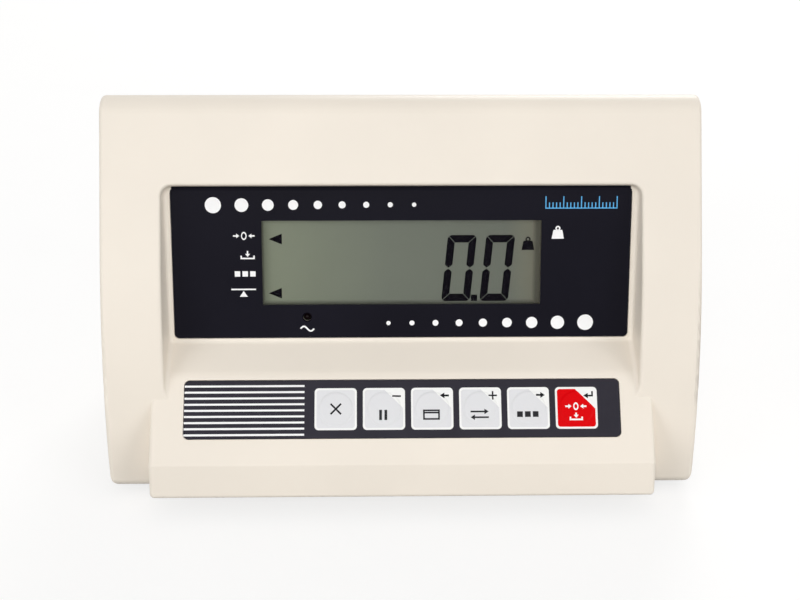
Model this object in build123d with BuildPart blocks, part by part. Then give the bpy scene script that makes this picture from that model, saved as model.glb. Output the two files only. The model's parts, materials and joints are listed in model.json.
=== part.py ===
from build123d import *
from math import cos, radians, sin, sqrt, tan
import os

# Housing. X runs to the right as the user sees it, Y to the back, Z up. Millimetres.
body_width = 250
body_depth = 121
wall = 2.6
foot_height = 3
side_round = 2
bottom_corner = 7

# Side view of the face, as height v along the upright face and reach w out of it.
face_tilt = 30
ridge_v = 87.2
ridge_round = 9
arc_top_v = 20
toe_v = -80.3
toe_w = -21.4
toe_round = 4
roof_slope = 36
roof_round = 30
console_reach = 36.7

# Display bay
bay_width = 199.5
bay_lip_v = 47.6
bay_draft = 2.4
bay_corner = 4.5
lip_round = 1.2
floor_round = 2
panel_lean = 11
panel_foot_v = -15.9
panel_foot_w = -18.2
rim_v = -17.5
label_width = 193.4
label_height = 64
label_thickness = 0.9
window_width = 118
window_height = 36
window_centre = 32.25
lamp_x = -40.3
lamp_height = 8.9
lamp_hole = 1.7

# Keypad console
console_width = 211
console_round = 1.8
slope_top_v = -31
keypad_lean = 12.7
keypad_v = -45.55
keypad_w = -6.79
crease_v = -68.4
console_foot_v = -82.9
console_foot_w = -5
overlay_width = 182.6
overlay_height = 24.5
overlay_thickness = 0.6
spacer_thickness = 0.7
circuit_thickness = 0.5
key_radius = 7.5
key_gap = 0.3
key_crown = 0.35
key_pitch = 20.2
first_key_x = -27.95
key_names = ["clear", "minus", "left", "plus", "right", "enter"]

# Parting between the covers, and the screws that hold them
split_y = 26
seam_width = 0.6
seam_depth = 0.5
cover_screw_x = 112
upper_screw_z = 138
lower_screw_z = 14
screw_radius = 1.5
well_y = 32
boss_radius = 4.5
boss_reach = 25
tongue_reach = 2.5
tongue_thickness = 1.2
rib_thickness = 1.6
rib_height = 6

# Board and display stack, as depths behind the panel
glass_size = (124, 39.6, 2.8)
glass_depth = 2.9
light_size = (120, 37, 4)
light_depth = 5.8
board_size = (186, 60, 1.6)
board_depth = 13.5
board_centre = 32
board_hole_x = 88
board_hole_reach = 26

# Rear services
recess_size = (196, 30)
recess_centre_z = 90
recess_depth = 13
inlet_x = -66
switch_x = -22
fuse_x = 14
socket_x = 64
socket_radius = 8
rocker_rest = 8
vent_x = 89
vent_z = 34

# Battery and its door
battery_size = (101, 47, 47)
battery_foot_z = 18.4
battery_back = 55.6
opening_size = (103, 48)
opening_foot_z = 18.4
door_width = 110
door_top = 70
door_thickness = 2.6
hinge_y = body_depth / 2 - 3
hinge_z = 13
barrel_radius = 3
pin_radius = 1.25
pin_length = 122

tray_floor_z = battery_foot_z - 2
tray_screw_x = 59
tray_screw_y = 14

# Mains transformer
transformer_x = 82
transformer_y = 2
transformer_z = 10
core_size = (35, 14, 29)
coil_screw_reach = 21

# Keypad tail, in the keypad's plane
tail_x = 0
tail_y = 9
tail_width = 14
tail_turn = (-1, 43.2)
tail_end = (4.4, 56.2)

# Underside
plate_spacing_x = 80
plate_spacing_y = 40
plate_centre_y = -4
insert_bore = 2.1
insert_radius = 3.4
insert_length = 8
foot_radius = 8
foot_x = 98
front_foot_y = -28
rear_foot_y = 46
foot_sink = 1
foot_boss_height = 9

tilt = radians(face_tilt)
back_y = body_depth / 2
ref_y = console_reach - back_y
ref_z = foot_height - toe_v * cos(tilt) - toe_w * sin(tilt)

os.makedirs("parts", exist_ok=True)


# Side-view point (y, z) of height v and reach w on the face.
def on_face(v, w):
    return (ref_y + v * sin(tilt) - w * cos(tilt), ref_z + v * cos(tilt) + w * sin(tilt))


def panel_w(v):
    return panel_foot_w + (v - panel_foot_v) * tan(radians(panel_lean))


def keypad_at(v):
    return keypad_w + (keypad_v - v) * tan(radians(keypad_lean))


# A plane that looks out of the face at height v and reach w, with its normal raised.
def facing(v, w, rise):
    y, z = on_face(v, w)
    return Plane(origin=(0, y, z), x_dir=(1, 0, 0), z_dir=(0, -cos(radians(rise)), sin(radians(rise))))


# A plane at depth y that looks to the front.
def across(y):
    return Plane.XZ.offset(-y)


side = Plane(origin=(0, ref_y, ref_z), x_dir=(0, sin(tilt), cos(tilt)), z_dir=(1, 0, 0))
face = facing(0, 0, face_tilt)
panel = facing(panel_foot_v, panel_foot_w, face_tilt - panel_lean)
keypad = facing(keypad_v, keypad_w, face_tilt + keypad_lean)


# How far the face stands back at height v.
def face_w(v):
    radius = ((arc_top_v - toe_v) ** 2 + toe_w**2) / (2 * abs(toe_w))
    return sqrt(radius**2 - min(0, v - arc_top_v) ** 2) - radius


# Whether an edge's middle lies on the face.
def on_surface(edge):
    middle = edge.center()
    y = middle.Y - ref_y
    z = middle.Z - ref_z
    v = y * sin(tilt) + z * cos(tilt)
    w = z * sin(tilt) - y * cos(tilt)
    return abs(w - face_w(v)) < 0.05


def save(builder, name):
    builder.part.label = name
    export_step(builder.part, f"parts/{name}.step")


def near(point, spot):
    return abs(point.X - spot[0]) < 0.01 and abs(point.Y - spot[1]) < 0.01


# The whole head without its bay and console, drawn in by inset on every side.
def hood(inset, rounded=False):
    ridge = on_face(ridge_v, 0)
    arc_top = on_face(arc_top_v, 0)
    toe = on_face(toe_v, toe_w)
    eave = (back_y, ridge[1] - (back_y - ridge[0]) * tan(radians(roof_slope)))
    heel = (back_y, foot_height)
    rounds = ((ridge, ridge_round), (eave, roof_round), (toe, toe_round), (heel, toe_round))
    with BuildPart() as form:
        with BuildSketch(Plane.YZ) as profile:
            with BuildLine():
                Line(ridge, arc_top)
                TangentArc(arc_top, toe, tangent=(-sin(tilt), -cos(tilt)))
                Polyline(toe, heel, eave, ridge)
            make_face()
            for spot, radius in rounds:
                fillet(profile.vertices().filter_by(lambda p, s=spot: near(p, s)), radius)
            if inset > 0:
                offset(amount=-inset, kind=Kind.INTERSECTION, mode=Mode.REPLACE)
        extrude(amount=body_width / 2 - inset, both=True)
        if rounded:
            fillet(form.faces().filter_by(Axis.X).edges(), side_round)
        with BuildSketch(across(0)) as outline:
            with Locations((0, foot_height + inset + body_depth)):
                Rectangle(body_width - 2 * inset, 2 * body_depth)
            fillet(outline.vertices().group_by(Axis.Y)[0], max(bottom_corner - inset, 0.5))
        extrude(amount=body_depth, both=True, mode=Mode.INTERSECT)
    return form.part


# Whether an edge lies on the floor of the display bay, or on the slope below it.
def on_bay_floor(edge):
    middle = edge.center()
    y = middle.Y - ref_y
    z = middle.Z - ref_z
    v = y * sin(tilt) + z * cos(tilt)
    w = z * sin(tilt) - y * cos(tilt)
    slope = (keypad_at(slope_top_v) - panel_w(rim_v)) / (slope_top_v - rim_v)
    floor_w = max(panel_w(v), keypad_at(v)) if v < slope_top_v else panel_w(max(v, rim_v))
    if slope_top_v <= v < rim_v:
        floor_w = panel_w(rim_v) + slope * (v - rim_v)
    return abs(w - floor_w) < 0.4 and abs(middle.X) > bay_width / 2 - 8


# The drafted mouth of the display bay, from in front of the face to behind its floor.
def bay_mouth():
    with BuildPart() as mouth:
        with BuildSketch(face) as opening:
            with Locations((0, bay_lip_v - body_depth / 2)):
                Rectangle(bay_width, body_depth)
            fillet(opening.vertices().group_by(Axis.Y)[-1], bay_corner)
        extrude(opening.sketch, amount=-25, taper=bay_draft)
        extrude(opening.sketch, amount=12, taper=-bay_draft)
    return mouth.part


# The space in front of the display bay's floor, grown by a wall thickness where asked.
def bay(grow, drafted=False):
    rim = (rim_v, panel_w(rim_v))
    slope_top = (slope_top_v, keypad_at(slope_top_v))
    clear_v = keypad_v - 6
    clear_w = 12
    with BuildPart() as space:
        with BuildSketch(side) as profile:
            with BuildLine():
                Polyline(
                    (bay_lip_v, clear_w),
                    (bay_lip_v, panel_w(bay_lip_v)),
                    rim,
                    slope_top,
                    (clear_v, keypad_at(clear_v)),
                    (clear_v, clear_w),
                    close=True,
                )
            make_face()
            fillet(profile.vertices().filter_by(lambda p: near(p, rim)), 3)
            fillet(profile.vertices().filter_by(lambda p: near(p, slope_top)), 9)
            if grow > 0:
                offset(amount=grow, kind=Kind.INTERSECTION, mode=Mode.REPLACE)
        extrude(amount=bay_width / 2 + grow, both=True)
        if drafted:
            add(bay_mouth(), mode=Mode.INTERSECT)
            fillet(space.edges().filter_by(on_bay_floor), floor_round)
    return space.part


# The keypad console: its outer form, or the hollow inside it.
def console(hollow):
    edge = wall if hollow else 0
    roof_gap = keypad_floor if hollow else 0
    top_v = slope_top_v - 3
    low_v = crease_v + 0.9 * edge
    crease = (low_v, keypad_at(low_v) - roof_gap)
    foot = (console_foot_v + 1.7 * edge, console_foot_w - 0.6 * edge)
    run_back = 30
    back_w = foot[1] - run_back * cos(tilt)
    with BuildPart() as block:
        with BuildSketch(side) as profile:
            with BuildLine():
                Polyline(
                    (top_v, keypad_at(top_v) - roof_gap),
                    crease,
                    foot,
                    (foot[0] + run_back * sin(tilt), back_w),
                    (top_v, back_w),
                    close=True,
                )
            make_face()
            fillet(profile.vertices().filter_by(lambda p: near(p, crease)), 1.2)
            fillet(profile.vertices().filter_by(lambda p: near(p, foot)), 1.5)
        extrude(amount=console_width / 2 - edge, both=True)
        if not hollow:
            fillet(block.faces().filter_by(Axis.X).edges(), console_round)
    return block.part


# The faces of a part that look the way a plane does.
def facing_faces(builder, plane):
    return builder.faces().filter_by(lambda f: f.normal_at().dot(plane.z_dir) > 0.99)


# A rounded pocket cut into a surface.
def sink(plane, centre, size, depth, corner):
    with BuildSketch(plane) as outline:
        with Locations(centre):
            RectangleRounded(size[0], size[1], corner)
    extrude(outline.sketch, amount=-depth, mode=Mode.SUBTRACT)


# Pan-head screws that enter against a plane's normal, with a cross recess in each head.
def screws(plane, spots, shank, length, head):
    height = 0.75 * head
    with BuildPart() as group:
        with BuildSketch(plane):
            with Locations(*spots):
                Circle(head)
        extrude(amount=height)
        fillet(facing_faces(group, plane).edges(), 0.4 * head)
        with BuildSketch(plane):
            with Locations(*spots):
                Circle(shank)
        extrude(amount=-length)
        with BuildSketch(plane.offset(height)):
            with Locations(*spots):
                Rectangle(1.1 * head, 0.28 * head)
                Rectangle(0.28 * head, 1.1 * head)
        extrude(amount=-0.5 * height, mode=Mode.SUBTRACT)
    return group


# The same plane seen from its other side; x runs the other way.
def behind(plane):
    return Plane(origin=plane.origin, x_dir=(-1, 0, 0), z_dir=-plane.z_dir)


# A plane at height z that looks down; y runs the other way.
def under(z):
    return Plane(origin=(0, 0, z), x_dir=(1, 0, 0), z_dir=(0, 0, -1))


def mirrored(spots):
    return [(-x, y) for x, y in spots]


def flipped(spots):
    return [(x, -y) for x, y in spots]


pad_depth = overlay_thickness + spacer_thickness + circuit_thickness
keypad_floor = pad_depth + wall
key_spots = [(first_key_x + key_pitch * n, 0) for n in range(len(key_names))]
board_spots = [
    (x, board_centre + y)
    for x in (-board_hole_x, board_hole_x)
    for y in (-board_hole_reach, board_hole_reach)
]
low_spots = [(x, lower_screw_z) for x in (-cover_screw_x, cover_screw_x)]
high_spots = [(x, upper_screw_z) for x in (-cover_screw_x, cover_screw_x)]
half_x = plate_spacing_x / 2
half_y = plate_spacing_y / 2
plate_spots = [(x, plate_centre_y + y) for x in (-half_x, half_x) for y in (-half_y, half_y)]
front_feet = [(x, front_foot_y) for x in (-foot_x, foot_x)]
rear_feet = [(x, rear_foot_y) for x in (-foot_x, foot_x)]
tray_spots = [(x, tray_screw_y) for x in (-tray_screw_x, tray_screw_x)]
coil_spots = [(transformer_x + x, transformer_y) for x in (-coil_screw_reach, coil_screw_reach)]
recess_y = back_y - recess_depth
floor_z = foot_height + wall

# The hollow of the front cover
with BuildPart() as hollow:
    add(hood(wall))
    add(console(hollow=True))
    add(bay(wall), mode=Mode.SUBTRACT)


# A band inside the wall, just behind the parting.
def seam_band(thickness, reach):
    with BuildPart() as band:
        add(hood(wall - thickness))
        add(hood(wall + 0.5), mode=Mode.SUBTRACT)
        with Locations((0, split_y + reach / 2, body_depth / 2)):
            Box(2 * body_width, reach, 2 * body_depth, mode=Mode.INTERSECT)
    return band.part


# The shallow groove round the parting, half in each cover
with BuildPart() as seam_groove:
    with Locations((0, split_y, body_depth / 2)):
        Box(2 * body_width, seam_width, 2 * body_depth)
    add(hood(seam_depth, rounded=True), mode=Mode.SUBTRACT)

# Screw bosses, ribs and posts inside the front cover
with BuildPart() as lands:
    with BuildSketch(across(split_y)):
        for x, z in high_spots + low_spots:
            out = 6 if x > 0 else -6
            rise = 8 if z > body_depth / 2 else -5
            with Locations((x, z)):
                Circle(boss_radius)
            with Locations((x, z + rise)):
                Rectangle(rib_thickness, 2 * abs(rise))
            with Locations((x + out, z)):
                Rectangle(12, rib_thickness)
    extrude(amount=boss_reach)
    for spots, radius, height in (
        (plate_spots, insert_radius + 2.1, insert_length + 1.5),
        (front_feet, foot_radius, foot_boss_height),
        (tray_spots, boss_radius, tray_floor_z - foot_height),
        (coil_spots, boss_radius, transformer_z - foot_height),
    ):
        with BuildSketch(Plane.XY.offset(foot_height)):
            with Locations(*spots):
                Circle(radius)
        extrude(amount=height)
    add(hood(wall / 3), mode=Mode.INTERSECT)

# Ribs under the forehead
with BuildPart() as ribs:
    add(hood(wall / 3))
    add(hood(wall + rib_height), mode=Mode.SUBTRACT)
    with Locations(*[(x, split_y - body_depth / 2, ridge_v + 95) for x in (-70, -35, 0, 35, 70)]):
        Box(rib_thickness, body_depth, 110, mode=Mode.INTERSECT)

# Front cover
with BuildPart() as front_cover:
    add(hood(0, rounded=True))
    add(bay(0, drafted=True), mode=Mode.SUBTRACT)
    lip = [
        e
        for e in front_cover.edges()
        if abs(e.center().X) < bay_width / 2 + 0.3
        and e.center().Z > on_face(slope_top_v - 5, 0)[1]
        and on_surface(e)
    ]
    fillet(lip, lip_round)
    add(console(hollow=False))
    add(hollow.part, mode=Mode.SUBTRACT)
    add(lands.part)
    add(ribs.part)
    split(bisect_by=across(split_y), keep=Keep.TOP)
    add(seam_band(tongue_thickness, tongue_reach))
    add(seam_groove.part, mode=Mode.SUBTRACT)
    with BuildSketch(panel.offset(-label_thickness)):
        with Locations(*board_spots):
            Circle(3.2)
    extrude(amount=label_thickness - board_depth)
    with BuildSketch(panel.offset(-board_depth)):
        with Locations(*board_spots):
            Circle(1.15)
    extrude(amount=9, mode=Mode.SUBTRACT)
    sink(panel, (0, label_height / 2), (label_width + 0.5, label_height + 0.5), label_thickness, 2.2)
    sink(panel, (0, window_centre), (window_width + 3, window_height + 2.5), wall + 1, 1)
    sink(keypad, (0, 0), (overlay_width + 0.5, overlay_height + 0.5), pad_depth, 2.4)
    sink(keypad, (tail_x, tail_y), (tail_width + 1.5, 1.6), keypad_floor + 1, 0.5)
    with BuildSketch(panel):
        with Locations((lamp_x, lamp_height)):
            Circle(lamp_hole + 0.1)
    extrude(amount=-wall - 1, mode=Mode.SUBTRACT)
    with BuildSketch(across(split_y)):
        with Locations(*(high_spots + low_spots)):
            Circle(screw_radius + 0.05)
    extrude(amount=13, mode=Mode.SUBTRACT)
    for spots, radius, bottom, depth in (
        (plate_spots, insert_radius, foot_height, insert_length),
        (front_feet, foot_radius + 0.2, foot_height, foot_sink),
        (front_feet, 1.25, foot_height, foot_boss_height - 1),
    ):
        with BuildSketch(Plane.XY.offset(bottom)):
            with Locations(*spots):
                Circle(radius)
        extrude(amount=depth, mode=Mode.SUBTRACT)
    for spots, top in ((tray_spots, tray_floor_z), (coil_spots, transformer_z)):
        with BuildSketch(Plane.XY.offset(top)):
            with Locations(*spots):
                Circle(1.25)
        extrude(amount=-6, mode=Mode.SUBTRACT)
save(front_cover, "front_cover")

# Screw wells and bosses inside the rear cover
with BuildPart() as wells:
    with BuildSketch(across(back_y)):
        with Locations(*(high_spots + low_spots)):
            Circle(boss_radius + 1.5)
    extrude(amount=back_y - split_y - 0.1)
    with BuildSketch(Plane.XY.offset(foot_height)):
        with Locations(*rear_feet):
            Circle(foot_radius)
    extrude(amount=foot_boss_height)
    add(hood(wall / 3), mode=Mode.INTERSECT)

door_middle = (opening_foot_z + opening_size[1] / 2, (hinge_z + door_top) / 2)
frame_depth = 8.5
frame_foot_z = 7.2

# Rear cover: sunken row for the sockets, frame for the battery door, vents and sound holes
with BuildPart() as rear_cover:
    add(hood(0, rounded=True))
    add(hood(wall), mode=Mode.SUBTRACT)
    split(bisect_by=across(split_y), keep=Keep.BOTTOM)
    with BuildSketch(across(back_y)):
        with Locations((0, recess_centre_z)):
            RectangleRounded(recess_size[0] + 2 * wall, recess_size[1] + 2 * wall, 7)
    extrude(amount=recess_depth + wall)
    with BuildSketch(across(back_y)):
        with Locations((0, (frame_foot_z + door_top + 6) / 2)):
            Rectangle(door_width + 18, door_top + 6 - frame_foot_z)
    extrude(amount=frame_depth)
    add(wells.part)
    add(seam_band(tongue_thickness + 0.1, tongue_reach + 0.2), mode=Mode.SUBTRACT)
    add(seam_groove.part, mode=Mode.SUBTRACT)
    sink_back = behind(across(back_y))
    with BuildSketch(sink_back) as row:
        with Locations((0, recess_centre_z)):
            RectangleRounded(recess_size[0], recess_size[1], 5)
    extrude(row.sketch, amount=-recess_depth, taper=2, mode=Mode.SUBTRACT)
    with BuildSketch(sink_back):
        with Locations((0, (hinge_z - barrel_radius + door_top) / 2)):
            Rectangle(door_width + 0.6, door_top - hinge_z + barrel_radius + 0.6)
    extrude(amount=-door_thickness - 0.1, mode=Mode.SUBTRACT)
    with BuildSketch(sink_back):
        with Locations((0, door_middle[0])):
            RectangleRounded(*opening_size, 0.8)
        with Locations((-vent_x, vent_z)):
            with GridLocations(5, 0, 8, 1):
                SlotOverall(26, 2.6, rotation=90)
        with Locations((vent_x, vent_z)):
            with PolarLocations(7, 6):
                Circle(1.4)
            Circle(1.4)
    extrude(amount=-frame_depth - 1, mode=Mode.SUBTRACT)
    with BuildSketch(Plane.YZ):
        with Locations((hinge_y, hinge_z)):
            Circle(barrel_radius + 0.3)
    extrude(amount=door_width / 2 + 0.3, both=True, mode=Mode.SUBTRACT)
    with BuildSketch(Plane.YZ):
        with Locations((hinge_y, hinge_z)):
            Circle(pin_radius + 0.03)
    extrude(amount=pin_length / 2, both=True, mode=Mode.SUBTRACT)
    with BuildSketch(sink_back):
        with Locations((0, door_top + 1)):
            Circle(9)
    extrude(amount=-1.6, taper=20, mode=Mode.SUBTRACT)
    with BuildSketch(behind(across(recess_y))):
        with Locations((-inlet_x, recess_centre_z)):
            Rectangle(27.4, 20.2)
            with GridLocations(40, 0, 2, 1):
                Circle(1.3)
        with Locations((-switch_x, recess_centre_z)):
            Rectangle(13.8, 19.8)
        with Locations((-fuse_x, recess_centre_z)):
            Circle(6.2)
        with Locations((-socket_x, recess_centre_z)):
            Circle(socket_radius)
    extrude(amount=-wall - 1, mode=Mode.SUBTRACT)
    with BuildSketch(behind(across(well_y))):
        with Locations(*(high_spots + low_spots)):
            Circle(4)
    extrude(amount=body_depth, mode=Mode.SUBTRACT)
    with BuildSketch(behind(across(well_y))):
        with Locations(*(high_spots + low_spots)):
            Circle(screw_radius + 0.2)
    extrude(amount=-body_depth, mode=Mode.SUBTRACT)
    for radius, depth in ((foot_radius + 0.2, foot_sink), (1.25, foot_boss_height - 1)):
        with BuildSketch(Plane.XY.offset(foot_height)):
            with Locations(*rear_feet):
                Circle(radius)
        extrude(amount=depth, mode=Mode.SUBTRACT)
save(rear_cover, "rear_cover")

save(screws(behind(across(well_y)), high_spots + low_spots, screw_radius, 18, 3), "cover_screws")

# Display label, with the clear window let into it
with BuildPart() as display_label:
    with BuildSketch(panel.offset(-label_thickness)):
        with Locations((0, label_height / 2)):
            RectangleRounded(label_width, label_height, 2)
        with Locations((0, window_centre)):
            Rectangle(window_width, window_height, mode=Mode.SUBTRACT)
        with Locations((lamp_x, lamp_height)):
            Circle(lamp_hole, mode=Mode.SUBTRACT)
    extrude(amount=label_thickness)
save(display_label, "display_label")

with BuildPart() as display_window:
    with BuildSketch(panel.offset(-label_thickness)):
        with Locations((0, window_centre)):
            Rectangle(window_width - 0.1, window_height - 0.1)
    extrude(amount=label_thickness)
    with BuildSketch(panel.offset(-label_thickness)):
        with Locations((0, window_centre)):
            Rectangle(window_width + 2.2, window_height + 1.7)
    extrude(amount=-0.8)
save(display_window, "display_window")

# LCD glass, its light and the frame that stands them on the board
with BuildPart() as lcd_glass:
    with BuildSketch(panel.offset(-glass_depth)):
        with Locations((0, window_centre)):
            Rectangle(glass_size[0], glass_size[1])
    extrude(amount=-glass_size[2])
save(lcd_glass, "lcd_glass")

with BuildPart() as backlight:
    with BuildSketch(panel.offset(-light_depth)):
        with Locations((0, window_centre)):
            Rectangle(light_size[0], light_size[1])
    extrude(amount=-light_size[2])
    with BuildSketch(panel.offset(-light_depth)):
        with Locations((light_size[0] / 2 + 1, window_centre)):
            Rectangle(2, 12)
    extrude(amount=-light_size[2])
save(backlight, "backlight")

frame_top = wall + 0.05
with BuildPart() as lcd_frame:
    with BuildSketch(panel.offset(-frame_top)):
        with Locations((0, window_centre)):
            Rectangle(glass_size[0] + 4, glass_size[1] + 3.2)
    extrude(amount=frame_top - board_depth)
    with BuildSketch(panel):
        with Locations((0, window_centre)):
            Rectangle(glass_size[0] + 0.2, glass_size[1] + 0.2)
    extrude(amount=-light_depth - light_size[2], mode=Mode.SUBTRACT)
    with BuildSketch(panel):
        with Locations((0, window_centre)):
            Rectangle(glass_size[0] - 6, glass_size[1] - 6)
    extrude(amount=-board_depth - 1, mode=Mode.SUBTRACT)
save(lcd_frame, "lcd_frame")

# Main board and what is soldered to its back, each as its place and its size
board_back = behind(panel.offset(-board_depth - board_size[2]))
chips = [((-20, 38), (14, 14)), ((8, 44), (10, 6)), ((-44, 34), (8, 5)), ((30, 40), (6, 5)), ((52, 16), (9, 6))]
tall_cans = [(-62, 12), (-76, 14)]
short_cans = [(-66, 26), (-78, 28), (66, 14)]
with BuildPart() as main_board:
    with BuildSketch(panel.offset(-board_depth)):
        with Locations((0, board_centre)):
            RectangleRounded(board_size[0], board_size[1], 1.5)
        with Locations(*board_spots):
            Circle(1.4, mode=Mode.SUBTRACT)
    extrude(amount=-board_size[2])
save(main_board, "main_board")

save(screws(board_back, mirrored(board_spots), 1.1, 8, 2.2), "board_screws")

with BuildPart() as board_chips:
    for spot, (width, height) in chips:
        with BuildSketch(board_back):
            with Locations(spot):
                Rectangle(width, height)
        extrude(amount=1.9, taper=6)
        with BuildSketch(board_back):
            with Locations(spot):
                with GridLocations(1.6, height + 2.4, int(width / 1.6), 2):
                    Rectangle(0.6, 2.6)
        extrude(amount=0.5)
save(board_chips, "board_chips")

with BuildPart() as board_capacitors:
    for spots, radius, height in ((tall_cans, 5, 11), (short_cans, 3.2, 8)):
        with BuildSketch(board_back):
            with Locations(*spots):
                Circle(radius)
        extrude(amount=height)
    fillet(facing_faces(board_capacitors, board_back).edges(), 0.5)
save(board_capacitors, "board_capacitors")

with BuildPart() as board_connectors:
    for x, y in ((-34, 52), (14, 54), (40, 54)):
        with BuildSketch(board_back):
            with Locations((x, y)):
                Rectangle(16, 6)
        extrude(amount=7)
        with BuildSketch(board_back.offset(7)):
            with Locations((x, y)):
                Rectangle(14, 4.4)
        extrude(amount=-5, mode=Mode.SUBTRACT)
save(board_connectors, "board_connectors")

with BuildPart() as buzzer:
    with BuildSketch(board_back):
        with Locations((76, 42)):
            Circle(6)
    extrude(amount=8)
    fillet(facing_faces(buzzer, board_back).edges(), 0.6)
    with BuildSketch(board_back.offset(8)):
        with Locations((76, 42)):
            Circle(1.2)
    extrude(amount=-2, mode=Mode.SUBTRACT)
save(buzzer, "buzzer")

# Mains lamp, a round lens on a collar behind its hole
lamp_at = panel.from_local_coords((lamp_x, lamp_height, 0))
lamp_section = Plane(origin=lamp_at, x_dir=(1, 0, 0), z_dir=-panel.y_dir)
with BuildPart() as mains_lamp:
    with BuildSketch(lamp_section):
        with BuildLine():
            Polyline((0, -1), (0, -8), (1.8, -8), (1.8, -7), (1.5, -7), (1.5, -2.5))
            RadiusArc((1.5, -2.5), (0, -1), -1.5)
        make_face()
    revolve(axis=Axis(lamp_at, panel.z_dir))
save(mains_lamp, "mains_lamp")

# Membrane keypad: contact sheet, spacer with a hole for each key, overlay and keys
with BuildPart() as keypad_circuit:
    with BuildSketch(keypad.offset(-pad_depth)):
        RectangleRounded(overlay_width, overlay_height, 2.2)
    extrude(amount=circuit_thickness)
    with BuildSketch(keypad.offset(-pad_depth + circuit_thickness)):
        with Locations(*key_spots):
            Circle(2.2)
            Circle(1.2, mode=Mode.SUBTRACT)
            Circle(0.7)
    extrude(amount=0.15)
save(keypad_circuit, "keypad_circuit")

with BuildPart() as keypad_spacer:
    with BuildSketch(keypad.offset(-overlay_thickness - spacer_thickness)):
        RectangleRounded(overlay_width, overlay_height, 2.2)
        with Locations(*key_spots):
            Circle(key_radius + key_gap, mode=Mode.SUBTRACT)
    extrude(amount=spacer_thickness)
save(keypad_spacer, "keypad_spacer")

with BuildPart() as keypad_overlay:
    with BuildSketch(keypad.offset(-overlay_thickness)):
        RectangleRounded(overlay_width, overlay_height, 2.2)
        with Locations(*key_spots):
            Circle(key_radius + key_gap, mode=Mode.SUBTRACT)
    extrude(amount=overlay_thickness)
save(keypad_overlay, "keypad_overlay")


def key(name, x):
    centre = keypad.from_local_coords((x, 0, 0))
    with BuildPart() as cap:
        with BuildSketch(Plane(origin=centre, x_dir=(1, 0, 0), z_dir=-keypad.y_dir)):
            with BuildLine():
                Polyline(
                    (0, key_crown),
                    (0, -overlay_thickness),
                    (key_radius, -overlay_thickness),
                    (key_radius, 0),
                    (key_radius - 0.9, key_crown),
                    close=True,
                )
            make_face()
        revolve(axis=Axis(centre, keypad.z_dir))
    save(cap, f"key_{name}")


for number, name in enumerate(key_names):
    key(name, key_spots[number][0])

# Flat tail that runs from the keypad through its slot, under the board and up behind it
tail_start = keypad.from_local_coords((tail_x, tail_y, -pad_depth))
tail_bend = keypad.from_local_coords((tail_x, tail_y, -13))
with BuildPart() as keypad_tail:
    with BuildSketch(Plane.YZ.offset(tail_x)):
        with BuildLine():
            FilletPolyline(
                (tail_start.Y, tail_start.Z),
                (tail_bend.Y, tail_bend.Z),
                tail_turn,
                tail_end,
                radius=4,
            )
        trace(line_width=0.3)
    extrude(amount=tail_width / 2, both=True)
save(keypad_tail, "keypad_tail")

# Mains transformer: core with feet, and the winding round its middle leg
with BuildPart() as transformer_core:
    with BuildSketch(across(transformer_y + core_size[1] / 2)):
        with Locations((transformer_x, transformer_z + core_size[2] / 2)):
            Rectangle(core_size[0], core_size[2])
            with GridLocations(core_size[0] / 2, 0, 2, 1):
                Rectangle(6, core_size[2] - 12, mode=Mode.SUBTRACT)
    extrude(amount=core_size[1])
    with BuildSketch(Plane.XY.offset(transformer_z)):
        with Locations((transformer_x, transformer_y)):
            SlotOverall(2 * coil_screw_reach + 8, 8)
            with GridLocations(2 * coil_screw_reach, 0, 2, 1):
                Circle(1.6, mode=Mode.SUBTRACT)
    extrude(amount=1.5)
save(transformer_core, "transformer_core")

with BuildPart() as transformer_coil:
    with BuildSketch(across(transformer_y + core_size[1] / 2 + 4)):
        with Locations((transformer_x, transformer_z + core_size[2] / 2)):
            RectangleRounded(core_size[0] / 2 + 5.8, core_size[2] - 12.2, 1)
    extrude(amount=core_size[1] + 8)
    add(transformer_core.part, mode=Mode.SUBTRACT)
save(transformer_coil, "transformer_coil")

save(screws(Plane.XY.offset(transformer_z + 1.5), coil_spots, 1.2, 6, 2.4), "transformer_screws")

# Battery, its terminals, tray and door
battery_y = battery_back - battery_size[1] / 2
with BuildPart() as battery:
    with BuildSketch(Plane.XY.offset(battery_foot_z)):
        with Locations((0, battery_y)):
            RectangleRounded(battery_size[0], battery_size[1], 2)
    extrude(amount=battery_size[2] - 2)
    fillet(battery.faces().sort_by(Axis.Z)[-1].edges(), 1)
save(battery, "battery")

with BuildPart() as battery_terminals:
    with BuildSketch(Plane.XY.offset(battery_foot_z + battery_size[2] - 2)):
        with Locations((-38, battery_y + 14), (38, battery_y + 14)):
            Rectangle(4.8, 0.8)
    extrude(amount=3)
save(battery_terminals, "battery_terminals")

with BuildPart() as battery_tray:
    with BuildSketch(Plane.XY.offset(tray_floor_z)):
        with Locations((0, 29)):
            Rectangle(106, 45)
        with Locations(*tray_spots):
            Circle(5)
        with Locations((0, tray_screw_y)):
            Rectangle(2 * tray_screw_x, 10)
    extrude(amount=2)
    with BuildSketch(Plane.XY.offset(tray_floor_z)):
        with GridLocations(104, 0, 2, 1):
            with Locations((0, 29)):
                Rectangle(2, 45)
        with Locations((0, 7.5)):
            Rectangle(106, 2)
    extrude(amount=14)
    with BuildSketch(Plane.XY.offset(floor_z)):
        with Locations((-40, 46), (40, 46)):
            Circle(4)
    extrude(amount=tray_floor_z - floor_z)
    with BuildSketch(Plane.XY.offset(tray_floor_z)):
        with Locations(*tray_spots):
            Circle(1.5)
    extrude(amount=2, mode=Mode.SUBTRACT)
save(battery_tray, "battery_tray")

save(screws(Plane.XY.offset(tray_floor_z + 2), tray_spots, 1.2, 7, 2.6), "tray_screws")

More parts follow.
